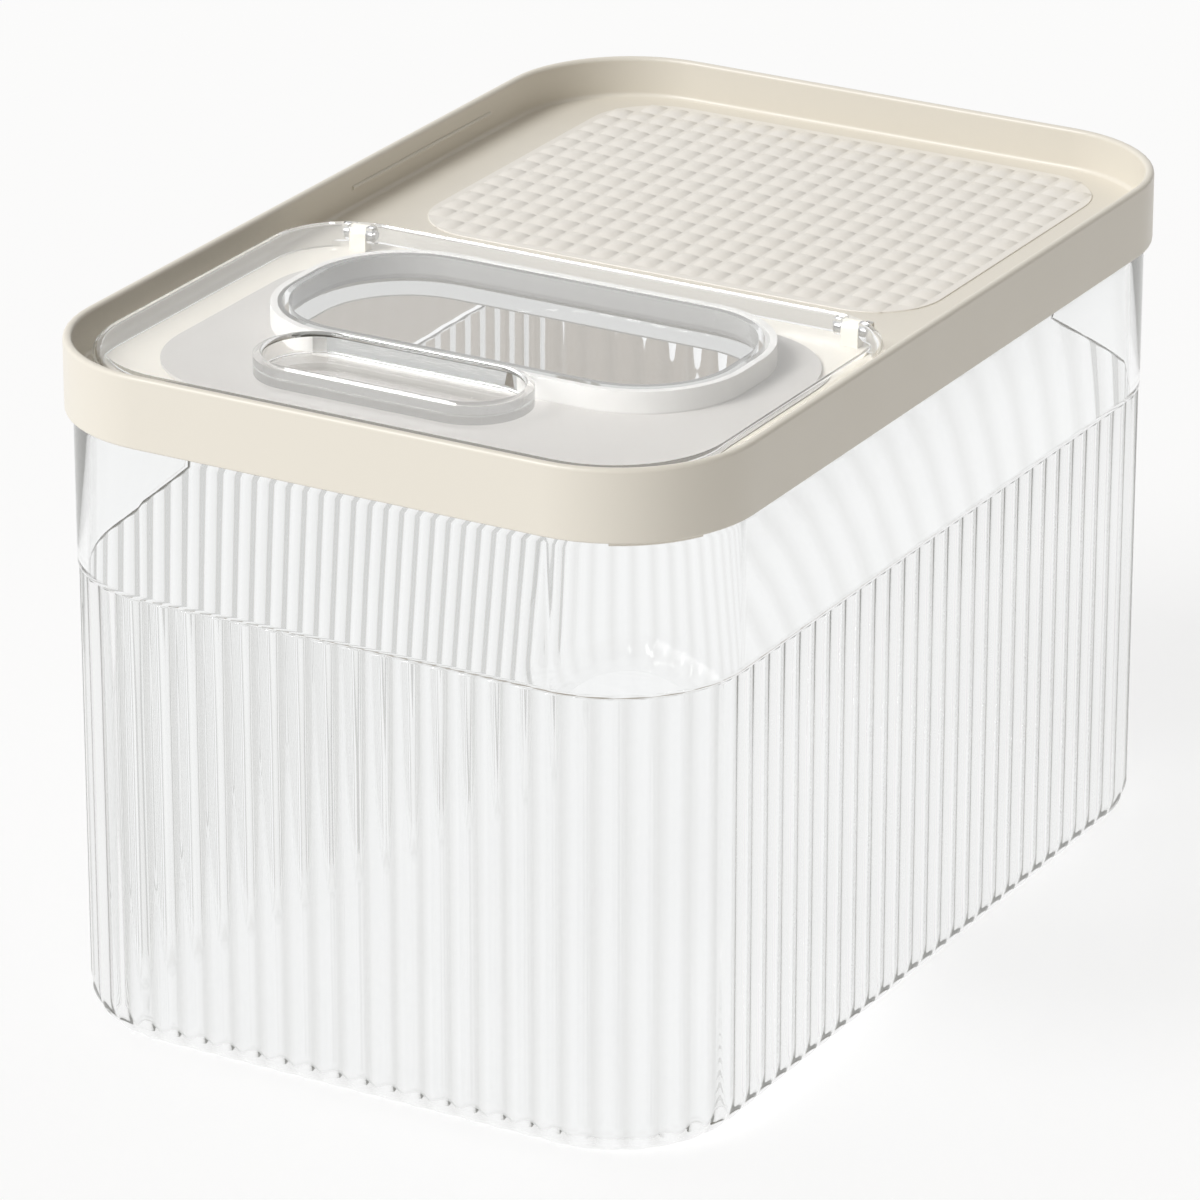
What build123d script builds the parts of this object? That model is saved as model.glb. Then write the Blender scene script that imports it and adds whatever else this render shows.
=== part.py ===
from build123d import *
import math
import os

# A pet food storage container: a clear fluted tub, a lid with a raised rim,
# and a clear hatch over a pour opening in the front half of the lid.
# Millimetres, +Z up, +X to the right, the hatch side faces -Y.
# The origin is the middle of the footprint, on the surface the tub stands on.

# Overall size, measured on the lid
lid_width = 240.0
lid_length = 360.0
rim_height = 232.0
lid_corner_radius = 47.0

# Lid shell
rim_wall = 3.0
rim_edge_radius = 1.3
tray_depth = 14.0
lid_floor_thickness = 2.4
skirt_height = 24.0
skirt_wall = 2.3
skirt_edge_radius = 0.6
guide_wall = 2.0
guide_depth = 9.0
tray_cove_radius = 1.6

# Fit of the lid over the tub
lid_gap = 0.4
seal_gap = 0.3

# Tub
band_wall = 3.2
flute_top = 156.0
flute_pitch = 10.0
flute_depth = 1.1
flute_step = 0.4
tub_floor_thickness = 3.2
foot_radius = 12.0
tub_rim_radius = 0.8

# Lid seal, a ring in the channel over the tub's rim
lid_seal_height = 2.3
lid_seal_side_gap = 0.2

# Hatch, which lies inside the rim at the front of the tray
hatch_side_gap = 6.0
hatch_front_gap = 5.0
hatch_length = 161.0
hatch_front_radius = 40.0
hatch_back_radius = 28.0
hatch_below_rim = 3.0
hatch_plate = 2.2
hatch_wall = 2.2
hatch_edge_radius = 3.0
hatch_floor_gap = 0.5
hatch_rear_lift = 2.0

# Pour opening in the lid floor, under the rear of the hatch
opening_side_margin = 27.0
opening_front_margin = 62.5
opening_back_margin = 12.0
opening_end_straight = 12.5

# Plug wall under the hatch, which drops into the seal's wall
plug_clearance = 1.5
plug_wall = 2.0
plug_depth = 14.0

# Soft seal on the tray under the hatch: a flat pad, and a wall round the opening
hatch_seal_side_margin = 13.0
hatch_seal_front_margin = 20.0
hatch_seal_back_margin = 9.0
hatch_seal_corner_radius = 38.0
hatch_seal_pad = 1.0
hatch_seal_overhang = 3.0
hatch_seal_wall = 2.4
hatch_seal_top_gap = 0.2
hatch_seal_recess_gap = 0.5

# Thumb recess in the hatch, left of the middle as on the real one
recess_centre_x = -12.0
recess_from_front = 47.0
recess_length = 90.0
recess_width = 32.0
recess_depth = 6.6
recess_wall = 3.0
recess_floor = 1.8
recess_edge_radius = 1.0

# Hinge of the hatch
hinge_inset = 3.5
hinge_drop = 5.4
hinge_end_inset = 20.0
pin_diameter = 3.0
pin_clearance = 0.08
lug_width = 6.0
lug_head_radius = 2.9
lug_rear_reach = 1.0
ear_width = 2.5
ear_radius = 3.0
ear_side_gap = 0.3

# Textured mat behind the hatch
mat_side_gap = 21.0
mat_front_gap = 25.0
mat_back_gap = 7.0
mat_corner_radius = 26.0
mat_thickness = 1.0
bump_pitch_x = 8.4
bump_pitch_y = 9.2
bump_size = 5.2
bump_height = 0.9
bump_margin = 2.0

# Beads moulded on the inner side walls of the rim
bead_front = 22.0
bead_length = 90.0
bead_below_rim = 7.0
bead_height = 1.2
bead_reach = 0.9

# Heights and places that follow from the sizes above
tray_floor = rim_height - tray_depth
floor_underside = tray_floor - lid_floor_thickness
skirt_bottom = rim_height - skirt_height
tub_top = floor_underside - lid_seal_height - seal_gap
hatch_top = rim_height - hatch_below_rim
hatch_ceiling = hatch_top - hatch_plate
hatch_bottom = tray_floor + hatch_floor_gap
tub_inset = skirt_wall + lid_gap
hatch_width = lid_width - 2 * (rim_wall + hatch_side_gap)
hatch_front = rim_wall + hatch_front_gap - lid_length / 2
hatch_back = hatch_front + hatch_length
opening_width = hatch_width - 2 * opening_side_margin
opening_front = hatch_front + opening_front_margin
opening_back = hatch_back - opening_back_margin
opening_corner_radius = (opening_back - opening_front - opening_end_straight) / 2
recess_centre_y = hatch_front + recess_from_front
recess_underside = hatch_top - recess_depth - recess_floor
mat_width = lid_width - 2 * (rim_wall + mat_side_gap)
mat_front = hatch_back + mat_front_gap
mat_back = lid_length / 2 - rim_wall - mat_back_gap
hinge_centre_x = hatch_width / 2 - hinge_end_inset
hinge_y = hatch_back - hinge_inset
hinge_z = hatch_top - hinge_drop


def rounded_block(width, length, radius, bottom, top, centre_y=0.0):
    """A block with upright rounded corners, centred on X."""
    outline = Pos(0, centre_y, bottom) * RectangleRounded(width, length, radius)
    return extrude(outline, amount=top - bottom)


def lid_block(inset, bottom, top):
    """The lid's outline drawn in by an inset, as a block."""
    return rounded_block(
        lid_width - 2 * inset,
        lid_length - 2 * inset,
        lid_corner_radius - inset,
        bottom,
        top,
    )


def opening_block(grow, bottom, top):
    """The pour opening's outline grown by an amount, as a block."""
    return rounded_block(
        opening_width + 2 * grow,
        opening_back - opening_front + 2 * grow,
        opening_corner_radius + grow,
        bottom,
        top,
        (opening_front + opening_back) / 2,
    )


def hatch_block(inset, bottom, top):
    """The hatch's outline drawn in by an inset: tighter corners at the back."""
    centre_y = (hatch_front + hatch_back) / 2
    sheet = Pos(0, centre_y, bottom) * Rectangle(hatch_width - 2 * inset, hatch_back - hatch_front - 2 * inset)
    sheet = fillet(sheet.vertices().group_by(Axis.Y)[0], hatch_front_radius - inset)
    sheet = fillet(sheet.vertices().group_by(Axis.Y)[-1], hatch_back_radius - inset)
    return extrude(sheet, amount=top - bottom)


def seal_block(bottom, top):
    """The outline of the seal's flat pad, as a block."""
    front = hatch_front + hatch_seal_front_margin
    back = hatch_back - hatch_seal_back_margin
    width = hatch_width - 2 * hatch_seal_side_margin
    return rounded_block(width, back - front, hatch_seal_corner_radius, bottom, top, (front + back) / 2)


def stadium_block(grow, bottom, top):
    """The thumb recess's outline grown by an amount, as a block."""
    outline = Pos(recess_centre_x, recess_centre_y, bottom) * RectangleRounded(
        recess_length + 2 * grow, recess_width + 2 * grow, recess_width / 2 + grow - 0.01
    )
    return extrude(outline, amount=top - bottom)


def loop_point(width, length, radius, distance):
    """Point and outward normal on a rounded rectangle, by distance along it."""
    straight_x = width - 2 * radius
    straight_y = length - 2 * radius
    quarter = math.pi * radius / 2
    sides = (
        (straight_x, -straight_x / 2, -length / 2, 0),
        (straight_y, width / 2, -straight_y / 2, 90),
        (straight_x, straight_x / 2, length / 2, 180),
        (straight_y, -width / 2, straight_y / 2, 270),
    )
    for span, start_x, start_y, heading in sides:
        along = math.radians(heading)
        ahead = (math.cos(along), math.sin(along))
        outward = (math.sin(along), -math.cos(along))
        if distance <= span:
            return (start_x + ahead[0] * distance, start_y + ahead[1] * distance), outward
        distance -= span
        if distance <= quarter:
            turn = distance / radius
            centre_x = start_x + ahead[0] * span - outward[0] * radius
            centre_y = start_y + ahead[1] * span - outward[1] * radius
            normal = (
                outward[0] * math.cos(turn) + ahead[0] * math.sin(turn),
                outward[1] * math.cos(turn) + ahead[1] * math.sin(turn),
            )
            return (centre_x + normal[0] * radius, centre_y + normal[1] * radius), normal
        distance -= quarter
    return loop_point(width, length, radius, distance)


def fluted_outline():
    """The tub's ribbed outline: one rounded rib after another, right round."""
    root_inset = tub_inset + flute_step + flute_depth
    width = lid_width - 2 * root_inset
    length = lid_length - 2 * root_inset
    radius = lid_corner_radius - root_inset
    around = 2 * (width + length) - 8 * radius + 2 * math.pi * radius
    count = round(around / flute_pitch)
    pitch = around / count
    ribs = []
    for number in range(count):
        start, _ = loop_point(width, length, radius, number * pitch)
        middle, normal = loop_point(width, length, radius, (number + 0.5) * pitch)
        end, _ = loop_point(width, length, radius, (number + 1) % count * pitch)
        crest = (middle[0] + normal[0] * flute_depth, middle[1] + normal[1] * flute_depth)
        ribs.append(ThreePointArc(start, crest, end))
    return make_face(ribs)


def tub():
    """Clear tub: ribbed walls below a smooth band, round foot, open top."""
    envelope = lid_block(tub_inset, 0, tub_top)
    envelope = fillet(envelope.edges().group_by(Axis.Z)[0], foot_radius)
    envelope = fillet(envelope.edges().group_by(Axis.Z)[-1], tub_rim_radius)
    cavity = lid_block(tub_inset + band_wall, tub_floor_thickness, tub_top + 1)
    cavity = fillet(cavity.edges().group_by(Axis.Z)[0], foot_radius - band_wall)
    ribbed = extrude(fluted_outline(), amount=flute_top)
    band = lid_block(tub_inset, flute_top, tub_top)
    return ((ribbed + band) & envelope) - cavity


def rim_bead(side):
    """A thin moulded bead on the rim's inner side wall."""
    wall_x = side * (lid_width / 2 - rim_wall)
    centre_z = rim_height - bead_below_rim
    bead = Box(2 * bead_reach, bead_length, bead_height)
    return Pos(wall_x, bead_front + bead_length / 2, centre_z) * bead


def hinge_lug(side):
    """One of the lid's two hinge lugs, standing on the tray floor."""
    centre_x = side * hinge_centre_x
    head = Pos(centre_x, hinge_y, hinge_z) * Rot(0, 90, 0) * Cylinder(lug_head_radius, lug_width)
    base_length = lug_head_radius + lug_rear_reach
    base_height = hinge_z - tray_floor
    base = Pos(centre_x, hinge_y + (lug_rear_reach - lug_head_radius) / 2, tray_floor + base_height / 2) * Box(
        lug_width, base_length, base_height
    )
    hole = Pos(centre_x, hinge_y, hinge_z) * Rot(0, 90, 0) * Cylinder(
        pin_diameter / 2 + pin_clearance, lug_width * 2
    )
    return head + base - hole


def lid():
    """Lid: outer skirt, raised rim, tray floor and pour opening."""
    shell = lid_block(0, skirt_bottom, rim_height)
    shell = fillet(shell.edges().group_by(Axis.Z)[-1], rim_edge_radius)
    shell = fillet(shell.edges().group_by(Axis.Z)[0], skirt_edge_radius)
    tray = lid_block(rim_wall, tray_floor, rim_height + 1)
    tray = fillet(tray.edges().group_by(Axis.Z)[0], tray_cove_radius)
    shell -= tray
    shell -= lid_block(skirt_wall, skirt_bottom - 1, floor_underside)
    rim_face = shell.faces().sort_by(Axis.Z)[-1]
    shell = fillet(rim_face.inner_wires()[0].edges(), rim_edge_radius)
    guide_inset = tub_inset + band_wall + lid_gap
    guide = lid_block(guide_inset, floor_underside - guide_depth, floor_underside)
    guide -= lid_block(guide_inset + guide_wall, floor_underside - guide_depth, floor_underside)
    shell += guide
    shell -= opening_block(0, floor_underside - 1, rim_height)
    for side in (-1, 1):
        shell += rim_bead(side)
        shell += hinge_lug(side)
    return shell


def lid_seal():
    """Soft ring over the tub's rim, between the skirt and the guide wall."""
    outer_inset = skirt_wall + lid_seal_side_gap
    inner_inset = tub_inset + band_wall + lid_gap - lid_seal_side_gap
    ring = lid_block(outer_inset, floor_underside - lid_seal_height, floor_underside)
    return ring - lid_block(inner_inset, floor_underside - lid_seal_height, floor_underside)


def grip_mat():
    """Textured mat on the rear of the tray: a grid of small raised bumps."""
    centre_y = (mat_front + mat_back) / 2
    mat = rounded_block(
        mat_width, mat_back - mat_front, mat_corner_radius, tray_floor, tray_floor + mat_thickness, centre_y
    )
    columns = int((mat_width - 2 * bump_margin) / bump_pitch_x)
    rows = int((mat_back - mat_front - 2 * bump_margin) / bump_pitch_y)
    spots = []
    for column in range(columns):
        for row in range(rows):
            x = (column - (columns - 1) / 2) * bump_pitch_x
            y = (row - (rows - 1) / 2) * bump_pitch_y
            corner_x = abs(x) + bump_size / 2 - (mat_width / 2 - mat_corner_radius)
            corner_y = abs(y) + bump_size / 2 - ((mat_back - mat_front) / 2 - mat_corner_radius)
            outside = math.hypot(max(corner_x, 0), max(corner_y, 0)) > mat_corner_radius - bump_margin / 2
            if not outside:
                spots.append(Location((x, centre_y + y, tray_floor + mat_thickness)))
    bumps = extrude(Sketch() + [spot * Rectangle(bump_size, bump_size) for spot in spots], amount=bump_height)
    return mat + bumps


def hinge_ears(side):
    """Two ears under the hatch, one each side of the lid's lug."""
    ears = []
    reach = lug_width / 2 + ear_side_gap + ear_width / 2
    for offset in (-reach, reach):
        centre_x = side * hinge_centre_x + offset
        knuckle = Pos(centre_x, hinge_y, hinge_z) * Rot(0, 90, 0) * Cylinder(ear_radius, ear_width)
        web_height = hatch_ceiling - hinge_z
        web = Pos(centre_x, hinge_y, hinge_z + web_height / 2) * Box(ear_width, 2 * ear_radius, web_height)
        ears.append(knuckle + web)
    return ears


def hatch():
    """Clear hatch: a shallow shell with a plug wall, thumb recess and hinge ears."""
    shell = hatch_block(0, hatch_bottom, hatch_top)
    shell = fillet(shell.edges().group_by(Axis.Z)[-1], hatch_edge_radius)
    shell -= hatch_block(hatch_wall, hatch_bottom - 1, hatch_ceiling)
    plug_inset = hatch_seal_overhang + plug_clearance
    plug = opening_block(-plug_inset, hatch_ceiling - plug_depth, hatch_ceiling)
    plug -= opening_block(-plug_inset - plug_wall, hatch_ceiling - plug_depth, hatch_ceiling)
    shell += plug
    shell += stadium_block(recess_wall, recess_underside, hatch_ceiling)
    pocket = stadium_block(0, recess_underside + recess_floor, hatch_top + 1)
    shell -= fillet(pocket.edges().group_by(Axis.Z)[0], recess_edge_radius)
    top_face = shell.faces().filter_by(Axis.Z).sort_by(Axis.Z)[-1]
    shell = fillet(top_face.inner_wires()[0].edges(), recess_edge_radius)
    rear_depth = hinge_inset + ear_radius
    rear_cut_top = hatch_bottom + hatch_rear_lift
    shell -= Pos(0, hatch_back - rear_depth / 2 + 1, (hatch_bottom + rear_cut_top) / 2 - 1) * Box(
        hatch_width, rear_depth + 2, rear_cut_top - hatch_bottom + 2
    )
    notch_width = lug_width + 2 * ear_side_gap
    for side in (-1, 1):
        shell -= Pos(side * hinge_centre_x, hinge_y + 2, (hatch_bottom + hatch_ceiling) / 2 - 1) * Box(
            notch_width, 4 * ear_radius, hatch_ceiling - hatch_bottom + 2
        )
        for ear in hinge_ears(side):
            shell += ear
        shell -= Pos(side * hinge_centre_x, hinge_y, hinge_z) * Rot(0, 90, 0) * Cylinder(
            pin_diameter / 2, pin_length()
        )
    return shell


def pin_length():
    """A pin runs from the outside of one ear to the outside of the other."""
    return lug_width + 2 * ear_side_gap + 2 * ear_width


def hinge_pin(side):
    """Steel pin through the ears and the lug on one side."""
    return Pos(side * hinge_centre_x, hinge_y, hinge_z) * Rot(0, 90, 0) * Cylinder(pin_diameter / 2, pin_length())


def hatch_seal():
    """Soft seal: a flat pad on the tray and a wall that reaches the closed hatch, cut away at the recess."""
    top = hatch_ceiling - hatch_seal_top_gap
    wall = opening_block(hatch_seal_wall - hatch_seal_overhang, tray_floor, top)
    notch_bottom = recess_underside - hatch_seal_recess_gap
    wall -= stadium_block(recess_wall + hatch_seal_recess_gap, notch_bottom, top + 1)
    seal = seal_block(tray_floor, tray_floor + hatch_seal_pad) + wall
    return seal - opening_block(-hatch_seal_overhang, tray_floor - 1, top + 1)


def main():
    os.makedirs("parts", exist_ok=True)
    pieces = {
        "tub": tub(),
        "lid": lid(),
        "lid_seal": lid_seal(),
        "grip_mat": grip_mat(),
        "hatch": hatch(),
        "hatch_seal": hatch_seal(),
        "hinge_pin_left": hinge_pin(-1),
        "hinge_pin_right": hinge_pin(1),
    }
    for name, piece in pieces.items():
        export_step(piece, f"parts/{name}.step")


main()
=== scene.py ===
import math

import bmesh
import bpy
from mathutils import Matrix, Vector


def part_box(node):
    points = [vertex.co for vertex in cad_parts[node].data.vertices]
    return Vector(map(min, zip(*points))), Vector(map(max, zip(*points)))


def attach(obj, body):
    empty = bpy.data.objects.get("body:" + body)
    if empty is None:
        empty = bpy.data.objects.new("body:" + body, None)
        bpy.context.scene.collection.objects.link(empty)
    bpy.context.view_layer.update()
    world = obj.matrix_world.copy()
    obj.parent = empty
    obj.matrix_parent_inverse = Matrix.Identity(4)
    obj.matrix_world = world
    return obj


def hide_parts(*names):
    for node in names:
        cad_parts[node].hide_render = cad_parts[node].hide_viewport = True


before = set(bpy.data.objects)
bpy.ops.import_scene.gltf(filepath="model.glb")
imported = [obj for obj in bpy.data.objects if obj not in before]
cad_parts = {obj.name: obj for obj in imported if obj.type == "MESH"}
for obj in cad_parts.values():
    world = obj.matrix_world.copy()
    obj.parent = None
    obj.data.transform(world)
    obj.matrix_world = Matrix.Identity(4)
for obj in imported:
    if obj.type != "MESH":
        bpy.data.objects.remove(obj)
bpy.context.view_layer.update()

# All sizes are metres. The fixed ones repeat the real sizes of the pieces, the rest come from the frame.
MM = 0.001

tub_low, tub_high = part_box("tub")
lid_low, lid_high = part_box("lid")
hatch_low, hatch_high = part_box("hatch")
mat_low, mat_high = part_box("grip_mat")
seal_low, seal_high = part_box("hatch_seal")

lid_width = lid_high.x - lid_low.x
lid_length = lid_high.y - lid_low.y
rim_height = lid_high.z
lid_corner = 47 * MM
rim_wall = 3.0 * MM
rim_edge = 1.3 * MM
tray_depth = 14 * MM
tray_floor = rim_height - tray_depth
tray_cove = 1.6 * MM
floor_thickness = 2.4 * MM
skirt_height = 24 * MM
skirt_bottom = rim_height - skirt_height
skirt_wall = 2.3 * MM
skirt_edge = 0.6 * MM
guide_wall = 2.0 * MM
guide_depth = 9 * MM
lid_gap = 0.4 * MM

tub_top = tub_high.z
tub_inset = (lid_width - (tub_high.x - tub_low.x)) / 2
band_wall = 3.2 * MM
flute_top = 156 * MM
flute_pitch = 10 * MM
flute_depth = 1.1 * MM
flute_step = 0.4 * MM
foot_radius = 12 * MM
tub_floor = 3.2 * MM
tub_rim_radius = 0.8 * MM
# The step above the ribs, from below: millimetres above their tops, millimetres in, share of the ribs left.
flute_end = (
    (-0.6, 0, 1),
    (-0.2, 0.1, 1),
    (0, 0.35, 1),
    (0.15, 0.35, 0.5),
    (0.3, 0.3, 0),
    (0.6, 0, 0),
    (2, 0, 0),
)

opening_half_width = hatch_high.x - 27 * MM
opening_front = hatch_low.y + 62.5 * MM
opening_back = hatch_high.y - 12 * MM
opening_corner = 37 * MM
opening_edge = 0.7 * MM

hatch_front_corner = 40 * MM
hatch_back_corner = 28 * MM
hatch_plate = 2.2 * MM
hatch_wall = 2.2 * MM
hatch_edge = 3.0 * MM
hatch_inner_edge = 1.2 * MM
hatch_foot_edge = 0.6 * MM
weld = 0.6 * MM
hatch_ceiling = hatch_high.z - hatch_plate
hatch_bottom = tray_floor + 0.5 * MM
seal_corner = 38 * MM
seal_pad = 1.0 * MM
seal_overhang = 3.0 * MM
seal_wall = 2.4 * MM
seal_edge = 0.25 * MM
plug_clearance = 1.5 * MM
plug_inset = seal_overhang + plug_clearance
plug_wall = 2.0 * MM
recess_x = -12 * MM
recess_y = hatch_low.y + 47 * MM
recess_length = 90 * MM
recess_width = 32 * MM
recess_floor_top = hatch_high.z - 6.6 * MM
recess_floor = 1.8 * MM
recess_wall = 3.0 * MM
recess_edge = 1.0 * MM
recess_gap = 0.5 * MM

hinge_x = 91 * MM
hinge_y = hatch_high.y - 3.5 * MM
hinge_z = hatch_high.z - 5.4 * MM
pin_radius = 1.5 * MM
pin_clearance = 0.08 * MM
lug_width = 6 * MM
lug_radius = 2.9 * MM
ear_width = 2.5 * MM
ear_radius = 3.0 * MM
ear_gap = 0.3 * MM
ear_weld = 0.4 * MM
notch_drop = 7 * MM

mat_corner = 26 * MM
mat_border = 1.5 * MM
pad_thickness = 0.4 * MM
pad_edge = 0.3 * MM
bump_sunk = 0.1 * MM
bump_pitch_x = 8.4 * MM
bump_pitch_y = 9.2 * MM
bump_gap = 1.1 * MM
bump_shoulder = 0.95 * MM
bump_crown = 0.8 * MM
bump_height = mat_high.z - tray_floor - pad_thickness - 0.4 * MM

bead_front = 22 * MM
bead_back = 112 * MM
bead_below_rim = 7 * MM
bead_radius = 0.8 * MM


def only(piece):
    """Make one object active and the only one selected."""
    bpy.ops.object.select_all(action="DESELECT")
    piece.select_set(True)
    bpy.context.view_layer.objects.active = piece


def pick(piece, kind, test):
    """In edit mode, select just the faces or edges that pass a test."""
    mesh = bmesh.from_edit_mesh(piece.data)
    for part in list(mesh.faces) + list(mesh.edges) + list(mesh.verts):
        part.select = False
    for part in getattr(mesh, kind):
        if test(part):
            part.select_set(True)
    mesh.select_flush_mode()
    bmesh.update_edit_mesh(piece.data)


def edit(piece, mode="EDGE"):
    """Open a piece in edit mode, ready to pick faces or edges."""
    only(piece)
    bpy.ops.object.mode_set(mode="EDIT")
    bpy.ops.mesh.select_mode(type=mode)


def done(piece):
    """Close edit mode and hand the piece back."""
    bpy.ops.object.mode_set(mode="OBJECT")
    return piece


def middle(edge):
    return (edge.verts[0].co + edge.verts[1].co) / 2


def upright(edge):
    """Whether a box's edge runs along Z."""
    return abs(edge.verts[0].co.z - edge.verts[1].co.z) > 1e-6 and (
        abs(edge.verts[0].co.x - edge.verts[1].co.x) < 1e-7
    )


def level(edge, height):
    """Whether an edge lies flat at a height."""
    return all(abs(vert.co.z - height) < 1e-6 for vert in edge.verts)


def block(name, low, high):
    """A box between two corners, with its place in its mesh."""
    low, high = Vector(low), Vector(high)
    bpy.ops.object.select_all(action="DESELECT")
    bpy.ops.mesh.primitive_cube_add(size=1, location=(low + high) / 2)
    piece = bpy.context.active_object
    piece.name = name
    piece.scale = high - low
    bpy.ops.object.transform_apply(location=True, rotation=True, scale=True)
    return piece


def rounded_block(name, low, high, front_corner, back_corner=None, turns=14):
    """A box whose upright edges are rounded, with other corners at the back if asked."""
    piece = block(name, low, high)
    middle_y = (low[1] + high[1]) / 2
    edit(piece)
    pick(piece, "edges", lambda e: upright(e) and middle(e).y < middle_y)
    bpy.ops.mesh.bevel(offset=front_corner, segments=turns, affect="EDGES")
    pick(piece, "edges", lambda e: upright(e) and middle(e).y > high[1] - 1e-5)
    bpy.ops.mesh.bevel(offset=back_corner or front_corner, segments=turns, affect="EDGES")
    return done(piece)


def rod(name, centre, radius, length, sides=32):
    """A rod along X."""
    bpy.ops.object.select_all(action="DESELECT")
    bpy.ops.mesh.primitive_cylinder_add(
        vertices=sides, radius=radius, depth=length, location=centre, rotation=(0, math.pi / 2, 0)
    )
    piece = bpy.context.active_object
    piece.name = name
    bpy.ops.object.transform_apply(location=True, rotation=True, scale=True)
    return piece


def combine(piece, tool, operation):
    """Cut a tool out of a piece, or add it to the piece, and remove the tool."""
    only(piece)
    change = piece.modifiers.new(operation.lower(), "BOOLEAN")
    change.operation = operation
    change.object = tool
    change.solver = "EXACT"
    bpy.ops.object.modifier_apply(modifier=change.name)
    bpy.data.objects.remove(tool)
    return piece


def finish(piece, angle=34, edge=0.0):
    """Soften the sharp edges, smooth what is round and keep flat faces flat."""
    only(piece)
    if edge:
        soft = piece.modifiers.new("soft edge", "BEVEL")
        soft.width = edge
        soft.segments = 3
        soft.limit_method = "ANGLE"
        soft.angle_limit = math.radians(50)
        soft.harden_normals = False
        bpy.ops.object.modifier_apply(modifier=soft.name)
    bpy.ops.object.shade_smooth_by_angle(angle=math.radians(angle))
    even = piece.modifiers.new("even", "WEIGHTED_NORMAL")
    even.keep_sharp = True
    bpy.ops.object.modifier_apply(modifier=even.name)
    return piece


def ring_block(name, grow_out, grow_in, bottom, top):
    """A wall that follows the pour opening, between two offsets from it."""
    outer = opening_block(name, grow_out, bottom, top)
    inner = opening_block(name + "_inside", grow_in, bottom - MM, top + MM)
    return combine(outer, inner, "DIFFERENCE")


def opening_block(name, grow, bottom, top):
    """A block in the outline of the pour opening, grown outwards by an offset."""
    return rounded_block(
        name,
        (-opening_half_width - grow, opening_front - grow, bottom),
        (opening_half_width + grow, opening_back + grow, top),
        opening_corner + grow,
    )


def stadium_block(name, grow, bottom, top):
    """A block in the outline of the thumb recess, grown outwards by an offset."""
    half_length = recess_length / 2 + grow
    half_width = recess_width / 2 + grow
    return rounded_block(
        name,
        (recess_x - half_length, recess_y - half_width, bottom),
        (recess_x + half_length, recess_y + half_width, top),
        half_width * 0.999,
        turns=20,
    )


def make_lid():
    """The lid: skirt, raised rim, tray, guide wall, pour opening, hinge lugs and side beads."""
    lid = rounded_block(
        "lid_shell", (lid_low.x, lid_low.y, skirt_bottom), (lid_high.x, lid_high.y, rim_height), lid_corner
    )
    edit(lid, "FACE")
    pick(lid, "faces", lambda f: f.normal.z > 0.9)
    bpy.ops.mesh.inset(thickness=rim_wall)
    bpy.ops.mesh.extrude_region_move(TRANSFORM_OT_translate={"value": (0, 0, -tray_depth)})
    pick(lid, "faces", lambda f: f.normal.z < -0.9)
    bpy.ops.mesh.inset(thickness=skirt_wall)
    rise = skirt_height - tray_depth - floor_thickness
    bpy.ops.mesh.extrude_region_move(TRANSFORM_OT_translate={"value": (0, 0, rise)})
    ceiling = skirt_bottom + rise
    guide_inset = tub_inset + band_wall + lid_gap
    bpy.ops.mesh.inset(thickness=guide_inset - skirt_wall)
    bpy.ops.mesh.inset(thickness=guide_wall)
    inner_x = lid_high.x - guide_inset
    inner_y = lid_high.y - guide_inset
    hollow_x = inner_x - guide_wall
    hollow_y = inner_y - guide_wall

    def on_guide(face):
        return (
            face.normal.z < -0.9
            and abs(face.calc_center_median().z - ceiling) < 1e-6
            and len(face.verts) == 4
            and max(abs(v.co.x) / inner_x for v in face.verts) <= 1.0001
            and max(abs(v.co.y) / inner_y for v in face.verts) <= 1.0001
            and max(max(abs(v.co.x) / hollow_x, abs(v.co.y) / hollow_y) for v in face.verts) > 0.7
        )

    pick(lid, "faces", on_guide)
    bpy.ops.mesh.extrude_region_move(TRANSFORM_OT_translate={"value": (0, 0, -guide_depth)})
    bpy.ops.mesh.select_mode(type="EDGE")
    pick(lid, "edges", lambda e: level(e, rim_height))
    bpy.ops.mesh.bevel(offset=rim_edge, segments=5, affect="EDGES")
    pick(lid, "edges", lambda e: level(e, tray_floor))
    bpy.ops.mesh.bevel(offset=tray_cove, segments=5, affect="EDGES")
    pick(lid, "edges", lambda e: level(e, skirt_bottom))
    bpy.ops.mesh.bevel(offset=skirt_edge, segments=3, affect="EDGES")
    done(lid)
    combine(lid, opening_block("opening", 0, tray_floor - 2 * floor_thickness, rim_height), "DIFFERENCE")
    edit(lid)
    pick(
        lid,
        "edges",
        lambda e: (level(e, tray_floor) or level(e, tray_floor - floor_thickness))
        and abs(middle(e).x) < opening_half_width + 1e-5
        and opening_front - 1e-5 < middle(e).y < opening_back + 1e-5
        and len(e.link_faces) == 2
        and abs(e.link_faces[0].normal.dot(e.link_faces[1].normal)) < 0.3,
    )
    bpy.ops.mesh.bevel(offset=opening_edge, segments=3, affect="EDGES")
    done(lid)
    for side in (-1, 1):
        combine(lid, hinge_lug(side), "UNION")
        combine(lid, rim_bead(side), "UNION")
    return finish(lid)


def hinge_lug(side):
    """A lug on the tray floor with a hole for the hatch's pin."""
    centre = (side * hinge_x, hinge_y, hinge_z)
    lug = rod("lug", centre, lug_radius, lug_width)
    foot = block(
        "lug_foot",
        (side * hinge_x - lug_width / 2, hinge_y - lug_radius, tray_floor - MM),
        (side * hinge_x + lug_width / 2, hinge_y + MM, hinge_z),
    )
    combine(lug, foot, "UNION")
    return combine(lug, rod("pin_hole", centre, pin_radius + pin_clearance, 2 * lug_width), "DIFFERENCE")


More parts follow.
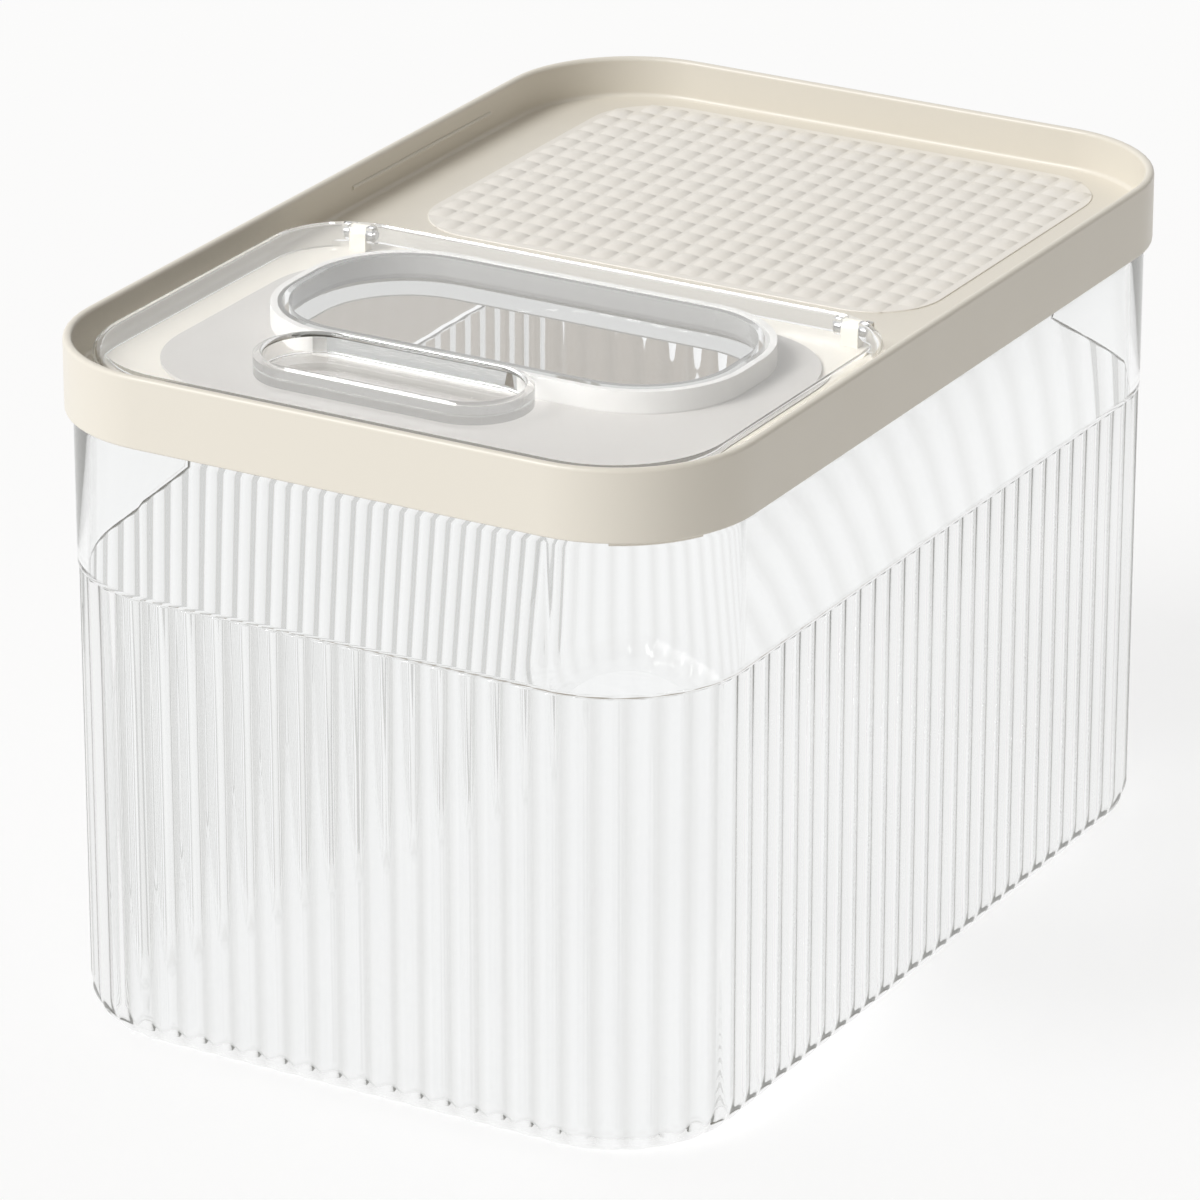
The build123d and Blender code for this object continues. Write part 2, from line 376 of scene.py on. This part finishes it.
def rim_bead(side):
    """A thin bead along the rim's inner side wall, with drawn-out ends."""
    wall_x = side * (lid_high.x - rim_wall)
    bpy.ops.object.select_all(action="DESELECT")
    bpy.ops.mesh.primitive_cylinder_add(
        vertices=16,
        radius=bead_radius,
        depth=bead_back - bead_front,
        location=(wall_x, (bead_front + bead_back) / 2, rim_height - bead_below_rim),
        rotation=(math.pi / 2, 0, 0),
    )
    bead = bpy.context.active_object
    bpy.ops.object.transform_apply(location=True, rotation=True, scale=True)
    edit(bead, "FACE")
    pick(bead, "faces", lambda f: abs(f.normal.y) > 0.9)
    bpy.ops.mesh.inset(thickness=bead_radius * 0.5)
    return done(bead)


def loop_frame(width, length, corner, share):
    """Point and outward normal on a rounded rectangle, at a share of the way round."""
    spans = (width - 2 * corner, length - 2 * corner)
    quarter = math.pi * corner / 2
    distance = share * (2 * sum(spans) + 4 * quarter)
    starts = (
        Vector((-spans[0] / 2, -length / 2)),
        Vector((width / 2, -spans[1] / 2)),
        Vector((spans[0] / 2, length / 2)),
        Vector((-width / 2, spans[1] / 2)),
    )
    for side, start in enumerate(starts):
        heading = side * math.pi / 2
        ahead = Vector((math.cos(heading), math.sin(heading)))
        outward = Vector((ahead.y, -ahead.x))
        span = spans[side % 2]
        if distance <= span:
            return start + ahead * distance, outward
        distance -= span
        if distance <= quarter:
            turn = distance / corner
            normal = outward * math.cos(turn) + ahead * math.sin(turn)
            return start + ahead * span - outward * corner + normal * corner, normal
        distance -= quarter
    return starts[0], Vector((0, -1))


def make_tub():
    """The clear tub as one closed skin: 110 or so ribs that fade into a round foot.

    The ribs are too many and too exact to pull up by hand, so every ring of
    points is worked out: an offset from the band's outline, and a height.
    """
    width = lid_width - 2 * tub_inset
    length = lid_length - 2 * tub_inset
    corner = lid_corner - tub_inset
    root = flute_step + flute_depth
    root_corner = corner - root
    around = 2 * (width + length - 4 * root) - 8 * root_corner + 2 * math.pi * root_corner
    ribs = round(around / flute_pitch)
    per_rib = 14
    total = ribs * per_rib
    points = []
    for number in range(total):
        point, normal = loop_frame(width - 2 * root, length - 2 * root, root_corner, number / total)
        across = number % per_rib / per_rib * 2 - 1
        height = flute_depth * math.cos(math.pi / 2 * across) ** 1.6
        points.append((point + normal * root, normal, root - height))

    rings = []
    ribbed_rings = []

    def ring(height, inset, ribs_out=0.0):
        rings.append([(p - n * (inset + d * ribs_out), height) for p, n, d in points])
        ribbed_rings.append(ribs_out)

    foot_steps = 14
    for step in range(foot_steps + 1):
        turn = math.pi / 2 * step / foot_steps
        ring(foot_radius * (1 - math.cos(turn)), foot_radius * (1 - math.sin(turn)), math.sin(turn))
    for share in (0.25, 0.5, 0.75):
        ring(foot_radius + (flute_top - foot_radius) * share, 0, 1)
    for rise, inset, ribs_out in flute_end:
        ring(flute_top + rise * MM, inset * MM, ribs_out)
    ring(tub_top - 8 * MM, 0)
    rim_steps = 4
    for step in range(rim_steps + 1):
        turn = math.pi / 2 * step / rim_steps
        ring(tub_top - tub_rim_radius * (1 - math.sin(turn)), tub_rim_radius * (1 - math.cos(turn)))
    for step in range(rim_steps + 1):
        turn = math.pi / 2 * step / rim_steps
        inset = band_wall - tub_rim_radius * (1 - math.sin(turn))
        ring(tub_top - tub_rim_radius * (1 - math.cos(turn)), inset)
    inner_foot = foot_radius - band_wall
    ring(flute_top, band_wall)
    ring((flute_top + foot_radius) / 2, band_wall)
    for step in range(foot_steps + 1):
        turn = math.pi / 2 * step / foot_steps
        ring(tub_floor + inner_foot * (1 - math.sin(turn)), band_wall + inner_foot * (1 - math.cos(turn)))

    verts = [(p.x, p.y, z) for row in rings for p, z in row]
    faces = []
    for row in range(len(rings) - 1):
        for number in range(total):
            after = (number + 1) % total
            low, high = row * total, (row + 1) * total
            faces.append((low + number, low + after, high + after, high + number))
    faces.append(tuple(reversed(range(total))))
    faces.append(tuple((len(rings) - 1) * total + number for number in range(total)))
    mesh = bpy.data.meshes.new("tub_shell")
    mesh.from_pydata(verts, [], faces)
    tub = bpy.data.objects.new("tub_shell", mesh)
    bpy.context.scene.collection.objects.link(tub)
    # Painted shade: how far each point lies in a rib valley, which the clear material turns greyer.
    painted_valley_shade = mesh.attributes.new("rib_valley_shade", "FLOAT", "POINT")
    for row, ribs_out in enumerate(ribbed_rings):
        for number in range(total):
            across = abs(number % per_rib / per_rib * 2 - 1)
            painted_valley_shade.data[row * total + number].value = max(0.0, across * 1.4 - 0.4) * ribs_out
    edit(tub, "FACE")
    bpy.ops.mesh.select_all(action="SELECT")
    bpy.ops.mesh.normals_make_consistent(inside=False)
    done(tub)
    only(tub)
    bpy.ops.object.shade_smooth_by_angle(angle=math.radians(60))
    return tub


def make_hatch():
    """The clear hatch: a cover with a plug wall, a thumb recess and hinge ears."""
    hatch = rounded_block(
        "hatch_cover",
        (hatch_low.x, hatch_low.y, hatch_bottom),
        (hatch_high.x, hatch_high.y, hatch_high.z),
        hatch_front_corner,
        hatch_back_corner,
        turns=18,
    )
    edit(hatch, "FACE")
    pick(hatch, "faces", lambda f: f.normal.z < -0.9)
    bpy.ops.mesh.inset(thickness=hatch_wall)
    bpy.ops.mesh.extrude_region_move(TRANSFORM_OT_translate={"value": (0, 0, hatch_ceiling - hatch_bottom)})
    bpy.ops.mesh.select_mode(type="EDGE")
    pick(hatch, "edges", lambda e: level(e, hatch_high.z))
    bpy.ops.mesh.bevel(offset=hatch_edge, segments=8, affect="EDGES")
    pick(hatch, "edges", lambda e: level(e, hatch_ceiling))
    bpy.ops.mesh.bevel(offset=hatch_inner_edge, segments=4, affect="EDGES")
    pick(hatch, "edges", lambda e: level(e, hatch_bottom))
    bpy.ops.mesh.bevel(offset=hatch_foot_edge, segments=3, affect="EDGES")
    done(hatch)
    plug = ring_block("plug", -plug_inset, -plug_inset - plug_wall, hatch_low.z, hatch_ceiling + weld)
    combine(hatch, plug, "UNION")
    pocket_bottom = recess_floor_top - recess_floor
    pocket_wall = stadium_block("pocket_wall", recess_wall, pocket_bottom, hatch_ceiling + weld)
    combine(hatch, pocket_wall, "UNION")
    pocket = stadium_block("pocket", 0, recess_floor_top, hatch_high.z + MM)
    edit(pocket)
    pick(pocket, "edges", lambda e: level(e, recess_floor_top))
    bpy.ops.mesh.bevel(offset=recess_edge, segments=5, affect="EDGES")
    done(pocket)
    combine(hatch, pocket, "DIFFERENCE")
    edit(hatch)
    pick(
        hatch,
        "edges",
        lambda e: level(e, hatch_high.z)
        and abs(middle(e).x - recess_x) < recess_length / 2 + 1e-5
        and abs(middle(e).y - recess_y) < recess_width / 2 + 1e-5
        and len(e.link_faces) == 2
        and e.link_faces[0].normal.dot(e.link_faces[1].normal) < 0.5,
    )
    bpy.ops.mesh.bevel(offset=recess_edge, segments=5, affect="EDGES")
    done(hatch)
    cut = block(
        "rear_cut",
        (hatch_low.x - MM, hinge_y - ear_radius, hatch_bottom - MM),
        (hatch_high.x + MM, hatch_high.y + MM, hatch_bottom + 2 * MM),
    )
    combine(hatch, cut, "DIFFERENCE")
    for side in (-1, 1):
        centre = Vector((side * hinge_x, hinge_y, hinge_z))
        half = lug_width / 2 + ear_gap
        notch = block(
            "notch",
            centre + Vector((-half, -2 * ear_radius + 2 * MM, -notch_drop)),
            (centre.x + half, hatch_high.y + MM, hatch_ceiling),
        )
        combine(hatch, notch, "DIFFERENCE")
        for offset in (-half - ear_width / 2, half + ear_width / 2):
            ear = rod("ear", centre + Vector((offset, 0, 0)), ear_radius, ear_width)
            web = block(
                "web",
                centre + Vector((offset - ear_width / 2, -ear_radius, 0)),
                (centre.x + offset + ear_width / 2, centre.y + ear_radius, hatch_ceiling + ear_weld),
            )
            combine(ear, web, "UNION")
            combine(hatch, ear, "UNION")
        bore = rod("pin_bore", centre, pin_radius, 2 * (half + ear_width))
        combine(hatch, bore, "DIFFERENCE")
    return finish(hatch)


def make_mat():
    """A thin pad on the tray with a grid of raised, rounded bumps on it."""
    centre_y = (mat_low.y + mat_high.y) / 2
    pad_top = tray_floor + pad_thickness
    mat = rounded_block(
        "mat_pad",
        (mat_low.x + mat_border, mat_low.y + mat_border, tray_floor),
        (mat_high.x - mat_border, mat_high.y - mat_border, pad_top),
        mat_corner - mat_border,
    )
    edit(mat)
    pick(mat, "edges", lambda e: level(e, pad_top))
    bpy.ops.mesh.bevel(offset=pad_edge, segments=3, affect="EDGES")
    done(mat)
    columns = int((mat_high.x - mat_low.x) / bump_pitch_x)
    rows = int((mat_high.y - mat_low.y) / bump_pitch_y)
    bpy.ops.object.select_all(action="DESELECT")
    bpy.ops.mesh.primitive_grid_add(
        x_subdivisions=columns, y_subdivisions=rows, size=1, location=(0, centre_y, pad_top - bump_sunk)
    )
    bumps = bpy.context.active_object
    bumps.scale = (columns * bump_pitch_x, rows * bump_pitch_y, 1)
    bpy.ops.object.transform_apply(location=True, rotation=True, scale=True)
    half_x = (mat_high.x - mat_low.x) / 2 - mat_corner
    half_y = (mat_high.y - mat_low.y) / 2 - mat_corner

    def off_corner(face):
        spot = face.calc_center_median()
        out_x = max(abs(spot.x) + bump_pitch_x * 0.4 - half_x, 0)
        out_y = max(abs(spot.y - centre_y) + bump_pitch_y * 0.4 - half_y, 0)
        return math.hypot(out_x, out_y) > mat_corner

    edit(bumps, "FACE")
    pick(bumps, "faces", off_corner)
    bpy.ops.mesh.delete(type="FACE")
    bpy.ops.mesh.select_all(action="SELECT")
    bpy.ops.mesh.inset(thickness=bump_gap / 2, use_individual=True)
    bpy.ops.mesh.select_all(action="INVERT")
    bpy.ops.mesh.delete(type="FACE")
    bpy.ops.mesh.select_all(action="SELECT")
    rise = bump_height + bump_sunk
    bpy.ops.mesh.inset(thickness=bump_shoulder, depth=rise * 0.5, use_individual=True)
    bpy.ops.mesh.inset(thickness=bump_shoulder, depth=rise * 0.36, use_individual=True)
    bpy.ops.mesh.inset(thickness=bump_crown, depth=rise * 0.14, use_individual=True)
    done(bumps)
    only(mat)
    bumps.select_set(True)
    bpy.ops.object.join()
    finish(mat, angle=80)
    return mat


def make_hatch_seal():
    """A soft flat pad on the tray, and a wall round the opening that is cut away at the recess."""
    seal = rounded_block(
        "seal_pad",
        (seal_low.x, seal_low.y, seal_low.z),
        (seal_high.x, seal_high.y, seal_low.z + seal_pad),
        seal_corner,
    )
    wall = opening_block("seal_wall", seal_wall - seal_overhang, seal_low.z, seal_high.z)
    below = recess_floor_top - recess_floor - recess_gap
    notch = stadium_block("notch", recess_wall + recess_gap, below, seal_high.z + MM)
    combine(seal, combine(wall, notch, "DIFFERENCE"), "UNION")
    hole = opening_block("seal_opening", -seal_overhang, seal_low.z - MM, seal_high.z + MM)
    combine(seal, hole, "DIFFERENCE")
    return finish(seal, edge=seal_edge)


def nodes_of(name):
    """A new material with its node tree and its main shader."""
    material = bpy.data.materials.new(name)
    material.use_nodes = True
    tree = material.node_tree
    return material, tree, tree.nodes["Principled BSDF"]


def add(tree, kind, **settings):
    node = tree.nodes.new(kind)
    for key, value in settings.items():
        setattr(node, key, value)
    return node


def noise(tree, scale, detail=2.0, stretch=(1, 1, 1)):
    """Noise on the object's own coordinates."""
    place = add(tree, "ShaderNodeTexCoord")
    mapping = add(tree, "ShaderNodeMapping")
    mapping.inputs["Scale"].default_value = stretch
    texture = add(tree, "ShaderNodeTexNoise")
    texture.inputs["Scale"].default_value = scale
    texture.inputs["Detail"].default_value = detail
    tree.links.new(place.outputs["Object"], mapping.inputs["Vector"])
    tree.links.new(mapping.outputs["Vector"], texture.inputs["Vector"])
    return texture.outputs["Fac"]


def between(tree, value, low, high):
    """Stretch a 0.3 to 0.7 noise value to a range."""
    node = add(tree, "ShaderNodeMapRange")
    node.inputs["From Min"].default_value = 0.3
    node.inputs["From Max"].default_value = 0.7
    node.inputs["To Min"].default_value = low
    node.inputs["To Max"].default_value = high
    tree.links.new(value, node.inputs["Value"])
    return node.outputs["Result"]


def tint(tree, value, dark, light):
    """A colour between two, as a value says."""
    node = add(tree, "ShaderNodeMix", data_type="RGBA")
    node.inputs["A"].default_value = (*dark, 1)
    node.inputs["B"].default_value = (*light, 1)
    tree.links.new(value, node.inputs["Factor"])
    return node.outputs["Result"]


def roughen(tree, shader, height, strength, distance):
    """Give a shader fine relief."""
    bump = add(tree, "ShaderNodeBump")
    bump.inputs["Strength"].default_value = strength
    bump.inputs["Distance"].default_value = distance
    tree.links.new(height, bump.inputs["Height"])
    tree.links.new(bump.outputs["Normal"], shader.inputs["Normal"])


def cream_plastic(name, dark, light, grain=1400, strength=0.12):
    """Satin moulded plastic with a fine even grain and faint flow marks."""
    material, tree, shader = nodes_of(name)
    flow = noise(tree, 9, 3, (1, 0.4, 1))
    tree.links.new(tint(tree, flow, dark, light), shader.inputs["Base Color"])
    tree.links.new(between(tree, noise(tree, 60, 4), 0.33, 0.42), shader.inputs["Roughness"])
    shader.inputs["Specular IOR Level"].default_value = 0.6
    roughen(tree, shader, noise(tree, grain, 3), strength, 0.0001)
    return material


def clear_plastic(name, ior, colour, painted_trap_shade, wave=0.05, wave_scale=14, painted_valley_shade=None):
    """Clear moulded plastic: smooth, with a slow ripple from moulding. Lamps reach what is inside.

    A ribbed piece has painted shade: greyer along its valleys. Light caught between its faces is let out
    after a few turns through a grey tint, also painted shade, so that the ribs don't go black.
    """
    material, tree, shader = nodes_of(name)
    cloud = between(tree, noise(tree, 18, 3), 0.0, 1.0)
    clear = tint(tree, cloud, tuple(0.985 * part for part in colour), colour)
    # Painted shade: a greyer colour along the rib valleys.
    if painted_valley_shade:
        ribs = add(tree, "ShaderNodeAttribute", attribute_name="rib_valley_shade")
        shaded = add(tree, "ShaderNodeMix", data_type="RGBA")
        tree.links.new(ribs.outputs["Fac"], shaded.inputs["Factor"])
        tree.links.new(clear, shaded.inputs["A"])
        shaded.inputs["B"].default_value = (*painted_valley_shade, 1)
        clear = shaded.outputs["Result"]
    tree.links.new(clear, shader.inputs["Base Color"])
    shader.inputs["Transmission Weight"].default_value = 1.0
    shader.inputs["IOR"].default_value = ior
    tree.links.new(between(tree, noise(tree, 40, 3), 0.0, 0.02), shader.inputs["Roughness"])
    roughen(tree, shader, noise(tree, wave_scale, 2), wave, 0.002)
    # Painted shade: after a few turns, rays go straight on through a grey tint.
    path = add(tree, "ShaderNodeLightPath")
    deep = add(tree, "ShaderNodeMath", operation="GREATER_THAN")
    tree.links.new(path.outputs["Ray Depth"], deep.inputs[0])
    deep.inputs[1].default_value = 4.5
    let_out = see_through(tree, shader.outputs["BSDF"], deep.outputs[0], painted_trap_shade)
    lit = see_through(tree, let_out, path.outputs["Is Shadow Ray"], (0.95, 0.95, 0.95))
    tree.links.new(lit, tree.nodes["Material Output"].inputs["Surface"])
    return material


def see_through(tree, surface, share, colour):
    """Let a share of the rays go straight on, tinted, instead of meeting the surface."""
    clear = add(tree, "ShaderNodeBsdfTransparent")
    clear.inputs["Color"].default_value = (*colour, 1)
    mix = add(tree, "ShaderNodeMixShader")
    tree.links.new(share, mix.inputs["Fac"])
    tree.links.new(surface, mix.inputs[1])
    tree.links.new(clear.outputs["BSDF"], mix.inputs[2])
    return mix.outputs["Shader"]


def soft_seal(pad_top):
    """Silicone: soft sheen, slightly cloudy, and darker grey low on the flat pad than higher up on the
    wall.
    """
    material, tree, shader = nodes_of("seal_silicone")
    cloud = noise(tree, 30, 3)
    # Darker grey on the pad, lighter grey from a little above its top.
    flat_pad_grey = tint(tree, cloud, (0.52, 0.5, 0.475), (0.55, 0.53, 0.505))
    upper_grey = tint(tree, cloud, (0.72, 0.71, 0.69), (0.76, 0.75, 0.73))
    spot = add(tree, "ShaderNodeTexCoord")
    parts = add(tree, "ShaderNodeSeparateXYZ")
    tree.links.new(spot.outputs["Object"], parts.inputs["Vector"])
    rise = add(tree, "ShaderNodeMapRange")
    rise.inputs["From Min"].default_value = pad_top + 0.1 * MM
    rise.inputs["From Max"].default_value = pad_top + 0.8 * MM
    tree.links.new(parts.outputs["Z"], rise.inputs["Value"])
    blend = add(tree, "ShaderNodeMix", data_type="RGBA")
    tree.links.new(rise.outputs["Result"], blend.inputs["Factor"])
    tree.links.new(flat_pad_grey, blend.inputs["A"])
    tree.links.new(upper_grey, blend.inputs["B"])
    tree.links.new(blend.outputs["Result"], shader.inputs["Base Color"])
    tree.links.new(between(tree, noise(tree, 80, 3), 0.45, 0.6), shader.inputs["Roughness"])
    roughen(tree, shader, noise(tree, 900, 2), 0.1, 0.0001)
    return material


def pin_steel():
    """Drawn steel wire: fine lines along the pin."""
    material, tree, shader = nodes_of("pin_steel")
    shader.inputs["Metallic"].default_value = 1.0
    lines = noise(tree, 700, 2, (0.05, 1, 1))
    tree.links.new(tint(tree, lines, (0.52, 0.52, 0.53), (0.66, 0.66, 0.66)), shader.inputs["Base Color"])
    tree.links.new(between(tree, lines, 0.25, 0.4), shader.inputs["Roughness"])
    return material


def dress(piece, material):
    piece.data.materials.clear()
    piece.data.materials.append(material)
    return piece


def dress_node(name, material):
    """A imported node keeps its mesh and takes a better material."""
    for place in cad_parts[name].material_slots:
        place.material = material


def place(piece, body, node, slot, material):
    """Give a piece its material and its body, and hide the node that it stands for. The slot is not used.
    """
    dress(piece, material)
    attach(piece, body)
    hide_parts(node)


def white_floor():
    """A white floor, which the camera sees nearly full white with the object's soft shadow on it."""
    floor = flat("studio_floor", (0, 0, 0), (60, 60), (0, 0, 0))
    material, tree, shader = nodes_of("studio_white")
    shader.inputs["Base Color"].default_value = (0.95, 0.95, 0.95, 1)
    shader.inputs["Roughness"].default_value = 1.0
    shader.inputs["Specular IOR Level"].default_value = 0.0
    glow = add(tree, "ShaderNodeEmission")
    path = add(tree, "ShaderNodeLightPath")
    camera_share = scaled(tree, path.outputs["Is Camera Ray"], 0.78)
    glossy_share = scaled(tree, path.outputs["Is Glossy Ray"], 0.9)
    share = larger(tree, camera_share, glossy_share)
    unscattered = add(tree, "ShaderNodeMath", operation="LESS_THAN")
    tree.links.new(path.outputs["Diffuse Depth"], unscattered.inputs[0])
    unscattered.inputs[1].default_value = 0.5
    bright = add(tree, "ShaderNodeMath", operation="MULTIPLY")
    tree.links.new(share, bright.inputs[0])
    tree.links.new(unscattered.outputs[0], bright.inputs[1])
    mix = add(tree, "ShaderNodeMixShader")
    tree.links.new(bright.outputs[0], mix.inputs["Fac"])
    tree.links.new(shader.outputs["BSDF"], mix.inputs[1])
    tree.links.new(glow.outputs["Emission"], mix.inputs[2])
    tree.links.new(mix.outputs["Shader"], tree.nodes["Material Output"].inputs["Surface"])
    material.cycles.emission_sampling = "NONE"
    return dress(floor, material)


def dark_flag():
    """A dark sheet that keeps the sky's light off the right side of the lid."""
    flag = flat("studio_flag", (0.42, 0, 1.0), (1.5, 1.5), (0, math.pi / 2, 0))
    material, tree, shader = nodes_of("studio_grey")
    shader.inputs["Base Color"].default_value = (0.15, 0.13, 0.105, 1)
    shader.inputs["Roughness"].default_value = 1.0
    hide_from(flag, "camera", "glossy", "transmission", "shadow")
    return dress(flag, material)


def painted_shade_card():
    """A warm grey glowing card behind the tub, which shows only through clear pieces: painted shade for the
    dark inside seen through the opening.
    """
    card = flat("studio_painted_shade_patch", (-0.32, 0.40, 0.001), (0.26, 0.2), (0, 0, math.radians(-12)))
    material, tree, shader = nodes_of("studio_painted_shade")
    # Painted shade: a faint warm grey glow.
    glow = add(tree, "ShaderNodeEmission")
    glow.inputs["Color"].default_value = (0.38, 0.335, 0.28, 1)
    tree.links.new(glow.outputs["Emission"], tree.nodes["Material Output"].inputs["Surface"])
    material.cycles.emission_sampling = "NONE"
    hide_from(card, "camera", "diffuse", "glossy", "shadow")
    return dress(card, material)


def hide_from(sheet, *rays):
    for ray in rays:
        setattr(sheet, "visible_" + ray, False)


def flat(name, centre, size, turn):
    """A flat sheet of the stage."""
    bpy.ops.object.select_all(action="DESELECT")
    bpy.ops.mesh.primitive_plane_add(size=1, location=centre, rotation=turn)
    sheet = bpy.context.active_object
    sheet.name = name
    sheet.scale = (*size, 1)
    bpy.ops.object.transform_apply(location=True, rotation=True, scale=True)
    return sheet


def scaled(tree, value, factor):
    node = add(tree, "ShaderNodeMath", operation="MULTIPLY")
    tree.links.new(value, node.inputs[0])
    node.inputs[1].default_value = factor
    return node.outputs[0]


def larger(tree, first, second):
    node = add(tree, "ShaderNodeMath", operation="MAXIMUM")
    tree.links.new(first, node.inputs[0])
    tree.links.new(second, node.inputs[1])
    return node.outputs[0]


def make_light():
    """An even sky, dimmer and warmer for what it lights than for what it is seen in, and one soft lamp."""
    world = bpy.data.worlds.new("studio_air")
    bpy.context.scene.world = world
    world.use_nodes = True
    tree = world.node_tree
    background = tree.nodes["Background"]
    path = add(tree, "ShaderNodeLightPath")
    strength = add(tree, "ShaderNodeMapRange")
    strength.inputs["To Min"].default_value = 1.0
    strength.inputs["To Max"].default_value = 0.5
    tree.links.new(path.outputs["Diffuse Depth"], strength.inputs["Value"])
    colour = add(tree, "ShaderNodeMix", data_type="RGBA")
    colour.inputs["A"].default_value = (1, 1, 1, 1)
    colour.inputs["B"].default_value = (1, 0.975, 0.935, 1)
    tree.links.new(path.outputs["Diffuse Depth"], colour.inputs["Factor"])
    tree.links.new(colour.outputs["Result"], background.inputs["Color"])
    tree.links.new(strength.outputs["Result"], background.inputs["Strength"])

    lamp = bpy.data.lights.new("key_lamp", "SUN")
    lamp.energy = 1.95
    lamp.angle = math.radians(25)
    sun = bpy.data.objects.new("key_lamp", lamp)
    bpy.context.scene.collection.objects.link(sun)
    towards = Vector((-0.38, -0.62, 0.69))
    sun.rotation_euler = towards.to_track_quat("Z", "Y").to_euler()


def make_camera():
    """The photograph's view: from the right of the hatch side, high, with a long lens."""
    azimuth = math.radians(29.73)
    elevation = math.radians(22.36)
    position = Vector((4.5110, -7.9681, 4.2183)) * lid_width
    back = Vector(
        (
            math.sin(azimuth) * math.cos(elevation),
            -math.cos(azimuth) * math.cos(elevation),
            math.sin(elevation),
        )
    )
    data = bpy.data.cameras.new("camera")
    data.lens = 216.4
    data.sensor_width = 36
    data.clip_end = 100
    camera = bpy.data.objects.new("camera", data)
    camera.location = position
    camera.rotation_euler = back.to_track_quat("Z", "Y").to_euler()
    bpy.context.scene.collection.objects.link(camera)
    bpy.context.scene.camera = camera


plastic_ior = 1.45
# Painted shade in the clear materials: the grey tint of light let out of the plastic, and the tub's greyer
# rib valleys.
clear_tub = clear_plastic(
    "clear_tub", plastic_ior, (0.985, 0.99, 0.99), (0.66, 0.66, 0.65), painted_valley_shade=(0.78, 0.78, 0.77)
)
clear_hatch = clear_plastic("clear_hatch", plastic_ior, (0.985, 0.988, 0.988), (0.84, 0.84, 0.83), 0.03, 20)
cream = cream_plastic("cream_plastic", (0.79, 0.75, 0.665), (0.82, 0.78, 0.695))
cream_mat = cream_plastic("cream_mat", (0.88, 0.85, 0.795), (0.91, 0.88, 0.825), 1800, 0.2)
silicone = soft_seal(seal_low.z + seal_pad)
steel = pin_steel()

place(make_tub(), "tub", "tub", "clear_tub", clear_tub)
place(make_lid(), "lid", "lid", "cream_plastic", cream)
place(make_mat(), "lid", "grip_mat", "mat", cream_mat)
place(make_hatch(), "hatch", "hatch", "clear_hatch", clear_hatch)
dress_node("lid_seal", silicone)
place(make_hatch_seal(), "lid", "hatch_seal", "seal", silicone)
dress_node("hinge_pin_left", steel)
dress_node("hinge_pin_right", steel)

white_floor()
dark_flag()
# Painted shade, seen only through the clear pieces.
painted_shade_card()
make_light()
make_camera()
bpy.context.scene.view_settings.view_transform = "Standard"
